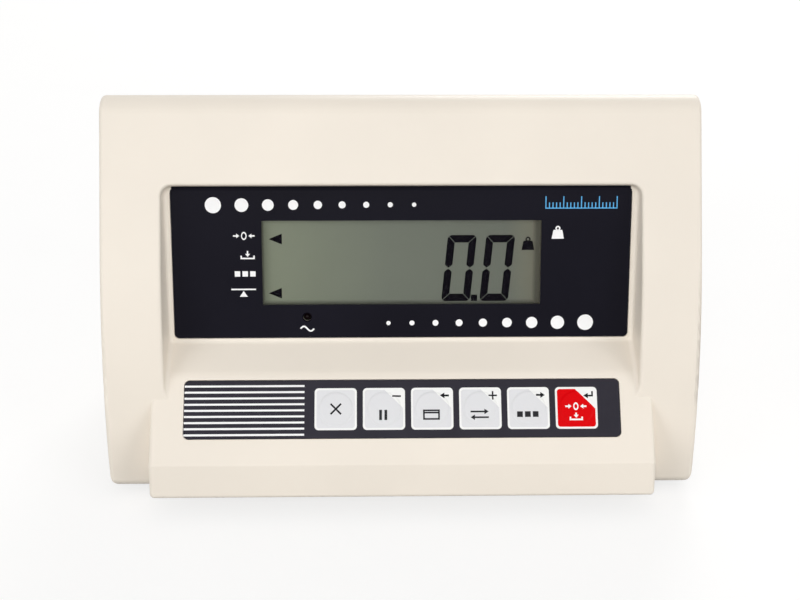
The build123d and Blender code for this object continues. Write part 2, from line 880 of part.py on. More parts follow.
with BuildPart() as battery_door:
    with BuildSketch(Plane.YZ):
        with Locations((hinge_y, hinge_z)):
            Circle(barrel_radius)
        with Locations((back_y - door_thickness / 2, door_middle[1])):
            Rectangle(door_thickness, door_top - hinge_z)
        with Locations((hinge_y, hinge_z)):
            Circle(pin_radius + 0.07, mode=Mode.SUBTRACT)
    extrude(amount=door_width / 2, both=True)
    with BuildSketch(across(back_y)):
        with Locations((0, door_top)):
            Circle(7)
    extrude(amount=1.2, mode=Mode.SUBTRACT)
    with BuildSketch(across(back_y - door_thickness)):
        with Locations((0, door_middle[0])):
            Rectangle(opening_size[0] - 6, 2)
            with GridLocations(30, 0, 3, 1):
                Rectangle(2, opening_size[1] - 8)
    extrude(amount=1.6)
save(battery_door, "battery_door")

with BuildPart() as door_hinge_pin:
    with BuildSketch(Plane.YZ):
        with Locations((hinge_y, hinge_z)):
            Circle(pin_radius)
    extrude(amount=pin_length / 2 - 0.1, both=True)
save(door_hinge_pin, "door_hinge_pin")

# Mains inlet with three blades
outward = behind(across(recess_y))
with BuildPart() as inlet_pins:
    with BuildSketch(behind(across(recess_y - 26))):
        for x, z in ((-7, -1.5), (7, -1.5), (0, 2.5)):
            with Locations((-inlet_x + x, recess_centre_z + z)):
                Rectangle(2, 4)
    extrude(amount=26)
save(inlet_pins, "inlet_pins")

with BuildPart() as mains_inlet:
    with BuildSketch(outward):
        with Locations((-inlet_x, recess_centre_z)):
            SlotOverall(50, 24)
            with GridLocations(40, 0, 2, 1):
                Circle(1.6, mode=Mode.SUBTRACT)
    extrude(amount=2)
    with BuildSketch(outward.offset(-20)):
        with Locations((-inlet_x, recess_centre_z)):
            RectangleRounded(27, 19.8, 2)
    extrude(amount=23)
    with BuildSketch(outward.offset(3)) as inlet_mouth:
        with Locations((-inlet_x, recess_centre_z)):
            Rectangle(24.6, 16.8)
        chamfer(inlet_mouth.vertices().group_by(Axis.Y)[-1], 4)
    extrude(amount=-16, mode=Mode.SUBTRACT)
    add(inlet_pins.part, mode=Mode.SUBTRACT)
save(mains_inlet, "mains_inlet")

inlet_screw_spots = [(-inlet_x - 20, recess_centre_z), (-inlet_x + 20, recess_centre_z)]
save(screws(outward.offset(2), inlet_screw_spots, 1.25, 7, 2.4), "inlet_screws")

# Fuse holder, fuse and quarter-turn cap
fuse_at = (fuse_x, recess_y, recess_centre_z)
fuse_section = Plane(origin=fuse_at, x_dir=(1, 0, 0), z_dir=(0, 0, 1))
fuse_axis = Axis(fuse_at, (0, 1, 0))


def turned(points, plane, axis):
    with BuildSketch(plane) as section:
        with BuildLine():
            Polyline(*points, close=True)
        make_face()
    revolve(section.sketch, axis=axis)


with BuildPart() as fuse_holder:
    turned(
        [(2.85, -24), (6, -24), (6, 0), (8, 0), (8, 2), (4.2, 2), (4.2, -11), (2.85, -11)],
        fuse_section,
        fuse_axis,
    )
    with BuildSketch(behind(across(recess_y - 24))):
        with Locations((-fuse_x, recess_centre_z)):
            Circle(6)
    extrude(amount=-1.5)
save(fuse_holder, "fuse_holder")

with BuildPart() as fuse:
    turned(
        [(0, -24), (2.8, -24), (2.8, -18.5), (2.5, -18.5), (2.5, -9.5), (2.8, -9.5), (2.8, -4), (0, -4)],
        fuse_section,
        fuse_axis,
    )
save(fuse, "fuse")

with BuildPart() as fuse_cap:
    turned(
        [(0, -3.7), (4.1, -3.7), (4.1, 2.1), (6.6, 2.1), (6.6, 8.4), (6, 9), (0, 9)],
        fuse_section,
        fuse_axis,
    )
    with BuildSketch(outward.offset(2.1)):
        with Locations((-fuse_x, recess_centre_z)):
            with PolarLocations(6.9, 16):
                Circle(0.6)
    extrude(amount=6, mode=Mode.SUBTRACT)
    with BuildSketch(outward.offset(9)):
        with Locations((-fuse_x, recess_centre_z)):
            Rectangle(9, 1.4)
    extrude(amount=-1.4, mode=Mode.SUBTRACT)
save(fuse_cap, "fuse_cap")

# Power switch: body with bezel, and the rocker on its trunnions
switch_section = Plane(origin=(switch_x, recess_y, recess_centre_z), x_dir=(0, 1, 0), z_dir=(1, 0, 0))
with BuildPart() as switch_body:
    with BuildSketch(outward):
        with Locations((-switch_x, recess_centre_z)):
            RectangleRounded(15, 21.5, 1)
    extrude(amount=1.6)
    with BuildSketch(outward):
        with Locations((-switch_x, recess_centre_z)):
            Rectangle(13.4, 19.4)
    extrude(amount=-15)
    with BuildSketch(outward.offset(1.6)):
        with Locations((-switch_x, recess_centre_z)):
            Rectangle(11.2, 17.6)
    extrude(amount=-11.6, mode=Mode.SUBTRACT)
    with BuildSketch(switch_section):
        Circle(1.27)
    extrude(amount=6.2, both=True, mode=Mode.SUBTRACT)
    with BuildSketch(outward.offset(-15)):
        with Locations((-switch_x, recess_centre_z)):
            with GridLocations(0, 9, 1, 2):
                Rectangle(4.8, 0.8)
    extrude(amount=-7)
save(switch_body, "switch_body")

with BuildPart() as switch_rocker:
    with BuildSketch(switch_section):
        with BuildLine():
            Polyline((-3.5, -6.5), (3, -8), (1.8, 0), (3, 8), (-3.5, 6.5), close=True)
        make_face()
    extrude(amount=5.3, both=True)
    with BuildSketch(switch_section):
        Circle(1.2)
    extrude(amount=6.1, both=True)
rocker_at = Axis((switch_x, recess_y, recess_centre_z), (1, 0, 0))
switch_rocker.part = switch_rocker.part.rotate(rocker_at, rocker_rest)
save(switch_rocker, "switch_rocker")

# Load-cell socket: shell, insulator with five contacts, and the ring nut behind the panel
socket_at = (socket_x, recess_y, recess_centre_z)
socket_section = Plane(origin=socket_at, x_dir=(1, 0, 0), z_dir=(0, 0, 1))
socket_axis = Axis(socket_at, (0, 1, 0))
with BuildPart() as socket_contacts:
    with BuildSketch(outward.offset(-14)):
        with Locations((-socket_x, recess_centre_z)):
            with PolarLocations(3.2, 5, start_angle=18):
                Circle(0.6)
    extrude(amount=20.5)
save(socket_contacts, "socket_contacts")

with BuildPart() as load_cell_socket:
    turned(
        [(6.2, -10), (7.8, -10), (7.8, 0), (10.5, 0), (10.5, 2), (8, 2), (8, 10.6), (7.6, 11), (6.2, 11)],
        socket_section,
        socket_axis,
    )
save(load_cell_socket, "load_cell_socket")

with BuildPart() as socket_insert:
    turned([(0, -10), (6.15, -10), (6.15, 1.6), (5.8, 2), (0, 2)], socket_section, socket_axis)
    add(socket_contacts.part, mode=Mode.SUBTRACT)
save(socket_insert, "socket_insert")

with BuildPart() as socket_nut:
    with BuildSketch(outward.offset(-wall)):
        with Locations((-socket_x, recess_centre_z)):
            RegularPolygon(11.2, 6)
            Circle(7.85, mode=Mode.SUBTRACT)
    extrude(amount=-3.2)
save(socket_nut, "socket_nut")

# Underside: feet, their screws, and the threaded inserts for a column plate
with BuildPart() as rubber_feet:
    with BuildSketch(Plane.XY.offset(foot_height + foot_sink)):
        with Locations(*(front_feet + rear_feet)):
            Circle(foot_radius)
    extrude(amount=-foot_height - foot_sink, taper=6)
    for radius, height in ((3.2, 2), (1.5, foot_height + foot_sink)):
        with BuildSketch():
            with Locations(*(front_feet + rear_feet)):
                Circle(radius)
        extrude(amount=height, mode=Mode.SUBTRACT)
save(rubber_feet, "rubber_feet")

save(screws(under(2), flipped(front_feet + rear_feet), 1.2, 9, 2.6), "foot_screws")

with BuildPart() as plate_inserts:
    with BuildSketch(Plane.XY.offset(foot_height)):
        with Locations(*plate_spots):
            Circle(insert_radius)
            Circle(insert_bore, mode=Mode.SUBTRACT)
    extrude(amount=insert_length)
save(plate_inserts, "plate_inserts")
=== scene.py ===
import bpy
import json
import math
from mathutils import Matrix, Vector


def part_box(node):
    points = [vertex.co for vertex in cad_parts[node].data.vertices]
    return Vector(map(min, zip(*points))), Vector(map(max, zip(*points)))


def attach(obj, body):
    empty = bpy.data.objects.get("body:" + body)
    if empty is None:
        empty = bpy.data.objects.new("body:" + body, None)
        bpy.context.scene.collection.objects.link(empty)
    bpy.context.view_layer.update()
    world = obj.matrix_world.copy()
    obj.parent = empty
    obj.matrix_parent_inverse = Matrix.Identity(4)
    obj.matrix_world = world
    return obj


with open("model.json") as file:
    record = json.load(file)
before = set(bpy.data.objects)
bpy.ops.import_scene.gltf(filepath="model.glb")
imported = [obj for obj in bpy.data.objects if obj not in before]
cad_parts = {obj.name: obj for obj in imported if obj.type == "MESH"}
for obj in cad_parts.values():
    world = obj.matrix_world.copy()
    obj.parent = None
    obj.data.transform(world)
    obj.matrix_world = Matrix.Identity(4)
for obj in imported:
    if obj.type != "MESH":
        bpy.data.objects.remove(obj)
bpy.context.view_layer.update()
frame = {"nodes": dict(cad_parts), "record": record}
nodes = frame["nodes"]
mm = 0.001


# Camera, at the photograph's angle

cameraFacts = {
    "lens": 56.7,
    "distance": 0.521,
    "rise": 30.0,         # degrees above the horizon
    "turn": -1.3,         # degrees to the right
    "roll": 0.42,         # degrees
    "aimDepth": -0.0238,
    "aimHeight": 0.08324,
    "shift": -0.0031,
    "near": 0.01,
    "far": 20.0,
}


def makeCamera(facts):
    data = bpy.data.cameras.new("viewCamera")
    data.lens = facts["lens"]
    data.clip_start = facts["near"]
    data.clip_end = facts["far"]
    data.shift_x = facts["shift"]
    camera = bpy.data.objects.new("viewCamera", data)
    bpy.context.collection.objects.link(camera)
    rise = math.radians(facts["rise"])
    turn = math.radians(facts["turn"])
    level = math.cos(rise)
    back = Vector((math.sin(turn) * level, -math.cos(turn) * level, math.sin(rise)))
    aim = Vector((0.0, facts["aimDepth"], facts["aimHeight"]))
    camera.location = aim + back * facts["distance"]
    camera.rotation_euler = (-back).to_track_quat("-Z", "Y").to_euler()
    camera.rotation_euler.rotate_axis("Z", math.radians(facts["roll"]))
    bpy.context.scene.camera = camera


makeCamera(cameraFacts)
print("camera set")


# Shader graphs. A Wire is one output socket that can stand in a sum.

class Wire:
    def __init__(self, recipe, socket):
        self.recipe = recipe
        self.socket = socket

    def work(self, operation, *terms):
        return self.recipe.add("ShaderNodeMath", {"operation": operation}, dict(enumerate(terms)))

    def __add__(self, other):
        return self.work("ADD", self, other)

    def __radd__(self, other):
        return self.work("ADD", other, self)

    def __sub__(self, other):
        return self.work("SUBTRACT", self, other)

    def __rsub__(self, other):
        return self.work("SUBTRACT", other, self)

    def __mul__(self, other):
        return self.work("MULTIPLY", self, other)

    def __rmul__(self, other):
        return self.work("MULTIPLY", other, self)

    def __truediv__(self, other):
        return self.work("DIVIDE", self, other)

    def __abs__(self):
        return self.work("ABSOLUTE", self)

    def __lt__(self, other):
        return self.work("LESS_THAN", self, other)

    def __gt__(self, other):
        return self.work("GREATER_THAN", self, other)

    def __floor__(self):
        return self.work("FLOOR", self)

    def most(self, other):
        return self.work("MAXIMUM", self, other)

    def least(self, other):
        return self.work("MINIMUM", self, other)

    def root(self):
        return self.work("SQRT", self)


class Recipe:
    outputs = {"materials": "ShaderNodeOutputMaterial", "worlds": "ShaderNodeOutputWorld"}

    def __init__(self, name, home="materials"):
        self.made = getattr(bpy.data, home).new(name)
        self.made.use_nodes = True
        self.output = self.outputs[home]
        self.tree = self.made.node_tree
        self.tree.nodes.clear()

    # one node: its settings first, then its sockets
    def add(self, kind, settings=None, inputs=None, out=0):
        node = self.tree.nodes.new(kind)
        for name, value in (settings or {}).items():
            if name == "stops":
                self.setStops(node.color_ramp, value)
            else:
                setattr(node, name, value)
        for key, value in (inputs or {}).items():
            if isinstance(value, Wire):
                self.tree.links.new(value.socket, node.inputs[key])
            else:
                node.inputs[key].default_value = value
        return Wire(self, node.outputs[out])

    def setStops(self, ramp, stops):
        while len(ramp.elements) < len(stops):
            ramp.elements.new(0.5)
        for element, (place, colour) in zip(ramp.elements, stops):
            element.position = place
            element.color = colour

    def place(self):
        return self.add("ShaderNodeTexCoord", out="Object")

    def noise(self, scale, detail=3.0, roughness=0.5):
        facts = {"Vector": self.place(), "Scale": scale, "Detail": detail, "Roughness": roughness}
        return self.add("ShaderNodeTexNoise", None, facts)

    def ramp(self, value, stops):
        return self.add("ShaderNodeValToRGB", {"stops": stops}, {0: value})

    # a number taken from one span to another, held at the ends
    def span(self, value, low, high, toLow=0.0, toHigh=1.0):
        facts = {0: value, 1: low, 2: high, 3: toLow, 4: toHigh}
        return self.add("ShaderNodeMapRange", {"clamp": True}, facts)

    def mix(self, mask, first, second):
        facts = {0: mask, 6: first, 7: second}
        return self.add("ShaderNodeMix", {"data_type": "RGBA"}, facts, out=2)

    def bump(self, height, strength, distance):
        facts = {"Height": height, "Strength": strength, "Distance": distance}
        return self.add("ShaderNodeBump", None, facts)

    # how far a place lies along a direction
    def along(self, direction, origin):
        facts = {0: self.place(), 1: origin}
        at = self.add("ShaderNodeVectorMath", {"operation": "SUBTRACT"}, facts)
        facts = {0: at, 1: direction}
        return self.add("ShaderNodeVectorMath", {"operation": "DOT_PRODUCT"}, facts, out=1)

    # the rays that see a background as it is: straight, mirrored or through glass
    def seen(self):
        kinds = ("Is Camera Ray", "Is Glossy Ray", "Is Transmission Ray")
        straight, mirrored, through = [self.add("ShaderNodeLightPath", out=kind) for kind in kinds]
        return straight.most(mirrored).most(through)

    def finish(self, inputs):
        self.show(self.add("ShaderNodeBsdfPrincipled", None, inputs))
        return self.made

    def show(self, shader):
        output = self.tree.nodes.new(self.output)
        self.tree.links.new(shader.socket, output.inputs[0])


def linear(part):
    return part / 12.92 if part <= 0.04045 else ((part + 0.055) / 1.055) ** 2.4


# A colour as a paint chart gives it, from 0 to 255
def paint(red, green, blue):
    return tuple(linear(part / 255) for part in (red, green, blue)) + (1.0,)


def shade(colour, factor):
    return tuple(min(part * factor, 1.0) for part in colour[:3]) + (1.0,)


plainWhite = (1.0, 1.0, 1.0, 1.0)
sideways = (1.0, 0.0, 0.0)
centre = (0.0, 0.0, 0.0)


# Flat places on the object that carry print, with x to the right and t up the slope

class Plate:
    def __init__(self, node, thickness, lean):
        low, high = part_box(node)
        lean = math.radians(lean)
        self.up = Vector((0.0, math.sin(lean), math.cos(lean)))
        self.out = Vector((0.0, -math.cos(lean), math.sin(lean)))
        self.height = (high.z - low.z - thickness * math.sin(lean)) / math.cos(lean)
        self.foot = Vector((0.0, low.y, high.z - self.height * math.cos(lean)))

    def matrix(self, x=0.0, t=0.0, out=0.0):
        turn = Matrix((Vector(sideways), self.up, self.out)).transposed().to_4x4()
        at = self.foot + Vector((x * mm, 0, 0)) + self.up * (t * mm) + self.out * (out * mm)
        return Matrix.Translation(at) @ turn


plateFacts = {
    "display_label": {"thickness": 0.9 * mm, "lean": 19.0},
    "lcd_glass": {"thickness": 2.8 * mm, "lean": 19.0},
    "keypad_overlay": {"thickness": 0.6 * mm, "lean": 42.7},
}

panel = Plate("display_label", **plateFacts["display_label"])
glass = Plate("lcd_glass", **plateFacts["lcd_glass"])
keypad = Plate("keypad_overlay", **plateFacts["keypad_overlay"])
keypadMiddle = keypad.foot + keypad.up * (keypad.height / 2)


# Ink: thin prisms cut from outlines in millimetres. One shape is an outline with its holes.

inkFacts = {"thickness": 0.03, "lift": 0.01}


def circle(x, y, radius, count=36):
    steps = [2 * math.pi * n / count for n in range(count)]
    return [(x + radius * math.cos(a), y + radius * math.sin(a)) for a in steps]


def rectangle(x0, y0, x1, y1):
    return [(x0, y0), (x1, y0), (x1, y1), (x0, y1)]


# An arrow from its tail to its tip, along x
def arrow(x0, x1, y, width, head, headHalf):
    neck = x1 - head if x1 > x0 else x1 + head
    half = width / 2
    under = [(x0, y - half), (neck, y - half), (neck, y - headHalf)]
    over = [(neck, y + headHalf), (neck, y + half), (x0, y + half)]
    return under + [(x1, y)] + over


def swapped(points):
    return [(y, x) for x, y in points]


def inkMesh(name, shapes):
    points, faces = [], []
    for shape in shapes:
        curve = bpy.data.curves.new(name, "CURVE")
        curve.dimensions = "2D"
        curve.fill_mode = "BOTH"
        curve.extrude = inkFacts["thickness"] / 2 * mm
        for outline in shape:
            spline = curve.splines.new("POLY")
            spline.points.add(len(outline) - 1)
            for point, (x, y) in zip(spline.points, outline):
                point.co = (x * mm, y * mm, 0.0, 1.0)
            spline.use_cyclic_u = True
        holder = bpy.data.objects.new(name, curve)
        bpy.context.collection.objects.link(holder)
        bpy.context.view_layer.update()
        solid = holder.evaluated_get(bpy.context.evaluated_depsgraph_get()).to_mesh()
        start = len(points)
        points += [tuple(vertex.co) for vertex in solid.vertices]
        faces += [[start + n for n in face.vertices] for face in solid.polygons]
        bpy.data.objects.remove(holder)
        bpy.data.curves.remove(curve)
    mesh = bpy.data.meshes.new(name)
    mesh.from_pydata(points, [], faces)
    return mesh


def printOn(name, shapes, matrix, material, body):
    piece = bpy.data.objects.new(name, inkMesh(name, shapes))
    bpy.context.collection.objects.link(piece)
    piece.data.transform(matrix)
    piece.data.materials.append(material)
    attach(piece, body)
    return piece


# Ivory plastic of the covers and the door

ivory = {
    "colour": paint(241, 232, 219),
    "mottleScale": 14.0,
    "mottleDetail": 4.0,
    "mottle": 0.03,       # how much darker the darkest patches are
    "lightMottle": 0.012,
    "grainScale": 2600.0,
    "grainDetail": 2.0,
    "grainSharpness": 0.6,
    "grainStrength": 0.3,
    "grainDepth": 0.00002,
    "roughness": 0.42,
    "unevenness": 0.12,   # of the roughness
    "specular": 0.35,
}


def makeIvory(facts):
    recipe = Recipe("ivoryPlastic")
    mottle = recipe.noise(facts["mottleScale"], facts["mottleDetail"])
    grain = recipe.noise(facts["grainScale"], facts["grainDetail"], facts["grainSharpness"])
    low = shade(facts["colour"], 1 - facts["mottle"])
    high = shade(facts["colour"], 1 + facts["lightMottle"])
    tone = recipe.mix(recipe.span(mottle, 0.35, 0.65), low, high)
    return recipe.finish({
        "Base Color": tone,
        "Roughness": facts["roughness"] + (mottle - 0.5) * facts["unevenness"],
        "Specular IOR Level": facts["specular"],
        "Normal": recipe.bump(grain, facts["grainStrength"], facts["grainDepth"]),
    })


# A finish with a little unevenness in tone and gloss, for the smaller pieces

finishFacts = {
    "patchDetail": 4.0,
    "grainTimes": 12,     # how much finer the grain is than the patches
    "grainDetail": 2.0,
    "grainStrength": 0.25,
    "unevenness": 0.16,
}


def makeFinish(
    name, colour, roughness=0.5, metallic=0.0, wear=0.06, scale=160.0, specular=0.5, depth=0.00002
):
    facts = finishFacts
    recipe = Recipe(name)
    patch = recipe.noise(scale, facts["patchDetail"])
    grain = recipe.noise(scale * facts["grainTimes"], facts["grainDetail"])
    low, high = shade(colour, 1 - wear), shade(colour, 1 + wear / 2)
    return recipe.finish({
        "Base Color": recipe.mix(recipe.span(patch, 0.3, 0.7), low, high),
        "Roughness": roughness + (patch - 0.5) * facts["unevenness"],
        "Metallic": metallic,
        "Specular IOR Level": specular,
        "Normal": recipe.bump(grain, facts["grainStrength"], depth),
    })


# A clear sheet: mostly see-through, with a faint gloss on it

clearFacts = {
    "colour": (0.01, 0.01, 0.012, 1.0),
    "smearScale": 45.0,
    "smearGloss": 0.08,
    "smearCover": 0.02,
    "specular": 0.3,
}


def makeClear(name, cover, haze):
    facts = clearFacts
    recipe = Recipe(name)
    smear = recipe.noise(facts["smearScale"])
    gloss = recipe.add("ShaderNodeBsdfPrincipled", None, {
        "Base Color": facts["colour"],
        "Roughness": haze + smear * facts["smearGloss"],
        "Specular IOR Level": facts["specular"],
    })
    clear = recipe.add("ShaderNodeBsdfTransparent", None, {"Color": plainWhite})
    share = cover + smear * facts["smearCover"]
    recipe.show(recipe.add("ShaderNodeMixShader", None, {0: share, 1: clear, 2: gloss}))
    return recipe.made


# Display panel: the dark sheet, and the grey-green glass behind its window

labelFacts = {
    "colour": paint(21, 20, 29),
    "cloudScale": 22.0,
    "cloud": 0.12,        # how far the tone goes to either side
    "roughness": 0.3,
    "unevenness": 0.1,
    "specular": 0.05,
    "grainScale": 5200.0,
    "grainStrength": 0.15,
    "grainDepth": 0.00001,
}


def makeLabel(facts):
    recipe = Recipe("panelSheet")
    cloud = recipe.noise(facts["cloudScale"])
    grain = recipe.noise(facts["grainScale"], 1.0)
    low = shade(facts["colour"], 1 - facts["cloud"])
    high = shade(facts["colour"], 1 + facts["cloud"])
    return recipe.finish({
        "Base Color": recipe.mix(recipe.span(cloud, 0.3, 0.7), low, high),
        "Roughness": facts["roughness"] + (cloud - 0.5) * facts["unevenness"],
        "Specular IOR Level": facts["specular"],
        "Normal": recipe.bump(grain, facts["grainStrength"], facts["grainDepth"]),
    })


lcdFacts = {
    "tones": [            # from the left end to the right
        (0.0, paint(136, 143, 122)),
        (0.45, paint(118, 124, 111)),
        (0.88, paint(109, 114, 103)),
        (0.99, paint(126, 125, 107)),
    ],
    "halfWidth": 59.0,    # mm
    "cloudScale": 60.0,
    "cloudReach": 8.0,    # how far the cloud pushes the tones sideways, mm
    "shadeLeft": (-58.9, 1.0),     # where the edge is, and how far its shade reaches, mm
    "shadeRight": (58.9, 3.4),
    "shadeFoot": (14.4, 1.6),
    "shadeTone": paint(58, 56, 48),
    "shadeShare": 0.6,
    "roughness": 0.55,
    "unevenness": 0.1,
    "specular": 0.3,
}


def makeLcd(facts):
    recipe = Recipe("lcdGlass")
    x = recipe.along(sideways, centre) / mm
    t = recipe.along(panel.up, panel.foot) / mm
    cloud = recipe.noise(facts["cloudScale"], 2.0)
    pushed = x + (cloud - 0.5) * facts["cloudReach"]
    across = recipe.span(pushed, -facts["halfWidth"], facts["halfWidth"])
    tone = recipe.ramp(across, facts["tones"])
    left, leftReach = facts["shadeLeft"]
    right, rightReach = facts["shadeRight"]
    foot, footReach = facts["shadeFoot"]
    shaded = recipe.span(x, left, left + leftReach, 1.0, 0.0)
    shaded = shaded.most(recipe.span(x, right - rightReach, right - rightReach / 2))
    shaded = shaded.most(recipe.span(t, foot, foot + footReach, 1.0, 0.0))
    return recipe.finish({
        "Base Color": recipe.mix(shaded * facts["shadeShare"], tone, facts["shadeTone"]),
        "Roughness": facts["roughness"] + (cloud - 0.5) * facts["unevenness"],
        "Specular IOR Level": facts["specular"],
    })


# Keypad print: dark ground, six caps with a pale field, a white corner and a sign in it

capFacts = {
    "count": 6,
    "firstX": -28.0,
    "pitch": 20.2,
    "side": 17.65,
    "round": 1.7,
    "border": 0.85,
    "fieldRound": 1.19,
    "cut": 8.3,           # how far out the white corner starts, on the grey caps
    "redCut": 7.6,
    "offCap": 20.0,       # sends the corner of the first cap out of sight
    # the ground's grey is partly the film's own dark grey, partly painted reflection
    "groundAndReflection": paint(50, 48, 56),
    "white": paint(247, 247, 245),
    "grey": paint(228, 228, 230),
    "red": paint(224, 0, 8),
    "ink": paint(24, 24, 28),
    "cloudScale": 70.0,
    "roughness": 0.42,
    "unevenness": 0.12,
    "specular": 0.06,
    "grainScale": 4200.0,
    "grainStrength": 0.2,
    "grainDepth": 0.00001,
}

# the signs in the white corners, in mm from the middle of the cap:
# bars as left, low, right, high, and one arrow head as base, tip, middle, half its width
cornerSigns = [
    {"cap": 1, "bars": [(3.5, 5.0, 7.1, 5.7)]},
    {"cap": 2, "bars": [(4.6, 5.1, 7.1, 5.9)], "head": (5.2, 3.3, 5.5, 1.25)},
    {"cap": 3, "bars": [(3.5, 5.1, 7.1, 5.75), (4.98, 3.6, 5.63, 7.25)]},
    {"cap": 4, "bars": [(3.3, 5.1, 5.8, 5.9)], "head": (5.2, 7.1, 5.5, 1.25)},
    {"cap": 5, "bars": [(4.6, 4.75, 7.2, 5.45), (6.5, 4.75, 7.2, 7.0)], "head": (5.0, 3.0, 5.1, 1.15)},
]


def makeKeypadPrint(facts):
    recipe = Recipe("keypadPrint")
    x = recipe.along(sideways, centre) / mm
    y = recipe.along(keypad.up, keypadMiddle) / mm
    number = math.floor((x - (facts["firstX"] - facts["pitch"] / 2)) / facts["pitch"])
    number = number.most(-1.0).least(facts["count"])
    x = x - (number * facts["pitch"] + facts["firstX"])
    onCap = (number > -0.5) * (number < facts["count"] - 0.5)

    def rounded(half, radius):
        overX = (abs(x) - (half - radius)).most(0.0)
        overY = (abs(y) - (half - radius)).most(0.0)
        return (overX * overX + overY * overY).root() < radius

    def isCap(place):
        return abs(number - place) < 0.5

    def bar(x0, y0, x1, y1):
        inX = abs(x - (x0 + x1) / 2) < (x1 - x0) / 2
        inY = abs(y - (y0 + y1) / 2) < (y1 - y0) / 2
        return inX * inY

    def head(base, tip, middle, half):
        way = 1 if tip > base else -1
        slope = half / abs(tip - base)
        inside = abs(y - middle) < (tip - x) * (way * slope)
        return inside * ((x - base) * way > 0.0)

    half = facts["side"] / 2
    cap = rounded(half, facts["round"]) * onCap
    field = rounded(half - facts["border"], facts["fieldRound"]) * onCap
    last = isCap(facts["count"] - 1)
    redder = last * (facts["cut"] - facts["redCut"])
    corner = x + y > facts["cut"] - redder + isCap(0) * facts["offCap"]
    signs = isCap(0) * 0.0
    for sign in cornerSigns:
        parts = [bar(*sides) for sides in sign["bars"]]
        if "head" in sign:
            parts.append(head(*sign["head"]))
        for part in parts:
            signs = signs.most(isCap(sign["cap"]) * part)
    tint = recipe.mix(last, facts["grey"], facts["red"])
    inner = recipe.mix(corner, tint, facts["white"])
    capTone = recipe.mix(field, facts["white"], inner)
    printTone = recipe.mix(signs, capTone, facts["ink"])
    cloud = recipe.noise(facts["cloudScale"])
    low, high = shade(facts["groundAndReflection"], 0.92), shade(facts["groundAndReflection"], 1.1)
    groundAndReflection = recipe.mix(recipe.span(cloud, 0.3, 0.7), low, high)
    grain = recipe.noise(facts["grainScale"], 1.0)
    return recipe.finish({
        "Base Color": recipe.mix(cap, groundAndReflection, printTone),
        "Roughness": facts["roughness"] + (cloud - 0.5) * facts["unevenness"],
        "Specular IOR Level": facts["specular"],
        "Normal": recipe.bump(grain, facts["grainStrength"], facts["grainDepth"]),
    })


# Printed circuit board with tracks in the mask

boardFacts = {
    "mask": paint(22, 92, 48),
    "track": paint(44, 124, 66),
    "trackScale": 150.0,
    "trackGap": 0.03,
    "stagger": 0.37,
    "cloudScale": 300.0,
    "roughness": 0.35,
    "unevenness": 0.15,
    "trackStrength": 0.3,
    "trackDepth": 0.00005,
}


def makeBoard(facts):
    recipe = Recipe("boardMask")
    tracks = recipe.add("ShaderNodeTexBrick", {"offset": facts["stagger"]}, {
        "Vector": recipe.place(),
        "Scale": facts["trackScale"],
        "Mortar Size": facts["trackGap"],
    }, out=1)
    cloud = recipe.noise(facts["cloudScale"], 2.0)
    return recipe.finish({
        "Base Color": recipe.mix(tracks, facts["track"], facts["mask"]),
        "Roughness": facts["roughness"] + cloud * facts["unevenness"],
        "Normal": recipe.bump(tracks, facts["trackStrength"], facts["trackDepth"]),
    })


# Every slot of the record, and its finish

metal = {"metallic": 1.0}
zinc = dict(metal, roughness=0.34, wear=0.1, scale=420.0)
tin = dict(metal, roughness=0.28, wear=0.08, scale=500.0)
nickel = dict(metal, roughness=0.24, wear=0.08, scale=500.0)
brass = dict(metal, roughness=0.3, wear=0.1, scale=400.0)
core = {"roughness": 0.5, "metallic": 0.8, "wear": 0.16, "scale": 700.0}
black = {"roughness": 0.46, "wear": 0.15, "scale": 300.0, "specular": 0.4, "depth": 0.00004}
case = {"wear": 0.08, "scale": 240.0, "specular": 0.4, "depth": 0.00005}
rubber = {"roughness": 0.8, "wear": 0.2, "scale": 260.0, "specular": 0.2, "depth": 0.00006}

finishes = {
    "ivory_plastic": makeIvory(ivory),
    "steel": makeFinish("zincSteel", paint(196, 197, 199), **zinc),
    "label_print": makeLabel(labelFacts),
    "clear_lens": makeClear("windowSheet", cover=0.05, haze=0.12),
    "lcd": makeLcd(lcdFacts),
    "diffuser": makeFinish("lightGuide", paint(236, 238, 228)),
    "black_plastic": makeFinish("blackPlastic", paint(30, 30, 32), **black),
    "circuit_board": makeBoard(boardFacts),
    "chip_black": makeFinish("chipBody", paint(38, 38, 40), wear=0.1, scale=500.0),
    "capacitor_sleeve": makeFinish("canSleeve", paint(28, 34, 78), roughness=0.3, wear=0.08),
    "connector_nylon": makeFinish("nylon", paint(232, 228, 212)),
    "lamp_lens": makeFinish("lampLens", paint(14, 3, 5), roughness=0.4, wear=0.1, specular=0.1),
    "keypad_film": makeFinish("keypadFilm", paint(206, 204, 190), roughness=0.25),
    "keypad_print": makeKeypadPrint(capFacts),
    "core_steel": makeFinish("coreSteel", paint(96, 96, 98), **core),
    "coil_tape": makeFinish("coilTape", paint(206, 176, 64), roughness=0.4),
    "battery_case": makeFinish("batteryCase", paint(62, 66, 70), **case),
    "tin_plate": makeFinish("tinPlate", paint(214, 212, 206), **tin),
    "fuse_glass": makeClear("fuseGlass", cover=0.25, haze=0.05),
    "rocker_red": makeFinish("rockerRed", paint(188, 16, 16), roughness=0.22),
    "nickel": makeFinish("nickelPlate", paint(204, 199, 190), **nickel),
    "foot_rubber": makeFinish("footRubber", paint(38, 38, 38), **rubber),
    "brass_insert": makeFinish("brass", paint(214, 176, 98), **brass),
}
finishes["red_key"] = finishes["keypad_print"]

for subpart in frame["record"]["subparts"]:
    part = nodes[subpart["node"]]
    part.data.materials.clear()
    part.data.materials.append(finishes[subpart["material_slot"]])
print("finishes on", len(nodes), "nodes")


